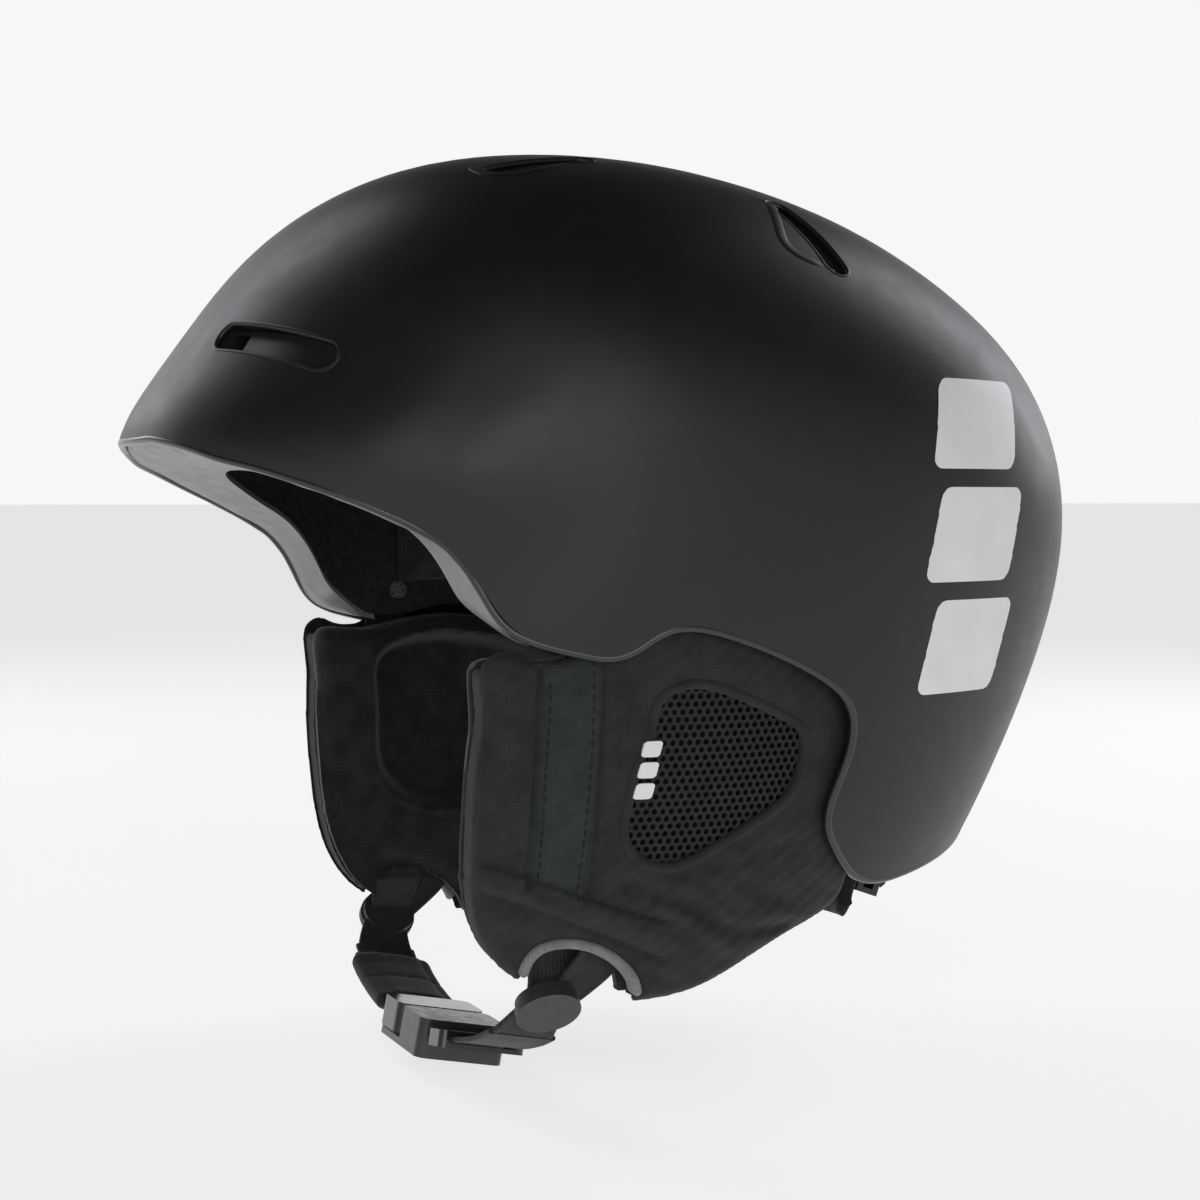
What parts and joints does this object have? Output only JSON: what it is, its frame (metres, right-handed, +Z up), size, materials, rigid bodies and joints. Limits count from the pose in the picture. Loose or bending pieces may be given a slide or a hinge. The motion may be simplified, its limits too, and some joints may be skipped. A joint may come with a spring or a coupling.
{
  "type": "ski helmet",
  "caption": "Hard-shell snow helmet with foam body, soft pull-off ear pads, webbing chin strap with buckle, rear fit dial and goggle strap clip.",
  "frame": {"origin": "centre of the helmet at its widest level, in the middle of the head cavity", "axes": "-Y is the wearer's front, +X the wearer's left, +Z up; the head enters from below"},
  "size_m": [0.222, 0.2887, 0.266],
  "materials": {
    "shell_black": "satin moulded ABS",
    "foam_dark": "dark expanded polystyrene bead foam",
    "band_grey": "satin grey moulded edge",
    "insert_black": "moulded nylon",
    "liner_fabric": "brushed knit over foam",
    "ear_fabric": "woven polyester over foam",
    "mesh_black": "spacer mesh",
    "binding_grey": "grosgrain binding tape",
    "webbing": "flat polyester webbing",
    "buckle_grey": "satin acetal",
    "buckle_black": "glossy acetal",
    "divider_grey": "satin moulded plastic",
    "rubber_black": "moulded rubber",
    "steel": "zinc plated steel"
  },
  "bodies": {
    "shell": {"brow_band": "band_grey", "brow_pad": "liner_fabric", "cradle_hanger": "insert_black", "cradle_pin": "steel", "crown_pad": "liner_fabric", "ear_socket_left": "insert_black", "ear_socket_right": "insert_black", "eps_liner": "foam_dark", "front_vent_insert_left": "insert_black", "front_vent_insert_right": "insert_black", "goggle_clip_base": "insert_black", "goggle_clip_pin": "steel", "goggle_clip_stud": "steel", "outer_shell": "shell_black", "rear_pad": "liner_fabric", "rear_vent_mesh": "insert_black", "side_pad_left": "liner_fabric", "side_pad_right": "liner_fabric", "strap_anchor_rivets": "steel", "strap_front_leg_left": "webbing", "strap_front_leg_right": "webbing", "strap_rear_leg_left": "webbing", "strap_rear_leg_right": "webbing", "top_vent_mesh": "insert_black"},
    "goggle_clip": {"goggle_clip_lever": "rubber_black", "goggle_clip_snap": "steel"},
    "ear_pad_left": {"ear_cover_left": "ear_fabric", "ear_liner_left": "liner_fabric", "ear_rim_left": "ear_fabric", "ear_plate_left": "insert_black", "ear_grille_left": "mesh_black", "ear_binding_left": "binding_grey"},
    "ear_pad_right": {"ear_cover_right": "ear_fabric", "ear_liner_right": "liner_fabric", "ear_rim_right": "ear_fabric", "ear_plate_right": "insert_black", "ear_grille_right": "mesh_black", "ear_binding_right": "binding_grey"},
    "strap_hanger_left": {"divider_disc_left": "divider_grey", "divider_back_left": "divider_grey"},
    "strap_hanger_right": {"divider_disc_right": "divider_grey", "divider_back_right": "divider_grey"},
    "strap_lower_left": {"chin_webbing_left": "webbing", "buckle_base": "buckle_grey", "buckle_magnet_left": "steel", "strap_slider": "buckle_black"},
    "strap_lower_right": {"chin_webbing_right": "webbing", "buckle_tongue": "buckle_black", "buckle_magnet_right": "steel", "chin_pad": "liner_fabric"},
    "fit_cradle": {"cradle_yoke": "insert_black", "dial_housing": "insert_black", "nape_pad": "liner_fabric"},
    "fit_dial": {"dial_knob": "rubber_black", "dial_pinion": "insert_black"},
    "fit_wing_left": {"fit_wing_left": "insert_black"},
    "fit_wing_right": {"fit_wing_right": "insert_black"}
  },
  "joints": [
    {"name": "goggle_clip_hinge", "type": "hinge", "parent": "shell", "child": "goggle_clip", "pos_m": [0, 0.14619, -0.04352], "axis": [1, 0, 0], "range_deg": [0, 95]},
    {"name": "ear_pad_left_pull", "type": "slide", "parent": "shell", "child": "ear_pad_left", "axis": [-0.22, 0, -0.9755], "range_m": [0, 0.003]},
    {"name": "ear_pad_right_pull", "type": "slide", "parent": "shell", "child": "ear_pad_right", "axis": [0.22, 0, -0.9755], "range_m": [0, 0.003]},
    {"name": "strap_swing_left", "type": "hinge", "parent": "shell", "child": "strap_hanger_left", "pos_m": [0.073, -0.042, -0.142], "axis": [1, 0, 0], "range_deg": [-15, 15]},
    {"name": "strap_swing_right", "type": "hinge", "parent": "shell", "child": "strap_hanger_right", "pos_m": [-0.073, -0.042, -0.142], "axis": [1, 0, 0], "range_deg": [-15, 15]},
    {"name": "strap_open_left", "type": "hinge", "parent": "strap_hanger_left", "child": "strap_lower_left", "pos_m": [0.0655, -0.04553, -0.15044], "axis": [0, -0.9816, 0.1908], "range_deg": [0, 70]},
    {"name": "strap_open_right", "type": "hinge", "parent": "strap_hanger_right", "child": "strap_lower_right", "pos_m": [-0.0655, -0.04553, -0.15044], "axis": [0, 0.9816, -0.1908], "range_deg": [0, 70]},
    {"name": "cradle_tilt", "type": "hinge", "parent": "shell", "child": "fit_cradle", "pos_m": [0, 0.095, -0.0635], "axis": [1, 0, 0], "range_deg": [-10, 0]},
    {"name": "dial_turn", "type": "hinge", "parent": "fit_cradle", "child": "fit_dial", "pos_m": [0, 0.09, -0.116], "axis": [0, 0.9397, -0.342], "range_deg": [-90, 90]},
    {"name": "wing_left_slide", "type": "hinge", "parent": "fit_cradle", "child": "fit_wing_left", "pos_m": [0, 0.01107, -0.08727], "axis": [0, -0.342, -0.9397], "range_deg": [-6.1, 6.1]},
    {"name": "wing_right_slide", "type": "hinge", "parent": "fit_cradle", "child": "fit_wing_right", "pos_m": [0, 0.01107, -0.08727], "axis": [0, 0.342, 0.9397], "range_deg": [-6.1, 6.1]}
  ],
  "couplings": [
    {"joint": "strap_swing_right", "follows": "strap_swing_left", "ratio": 1},
    {"joint": "strap_open_right", "follows": "strap_open_left", "ratio": 1},
    {"joint": "wing_left_slide", "follows": "dial_turn", "ratio": 0.066964},
    {"joint": "wing_right_slide", "follows": "dial_turn", "ratio": 0.066964}
  ]
}
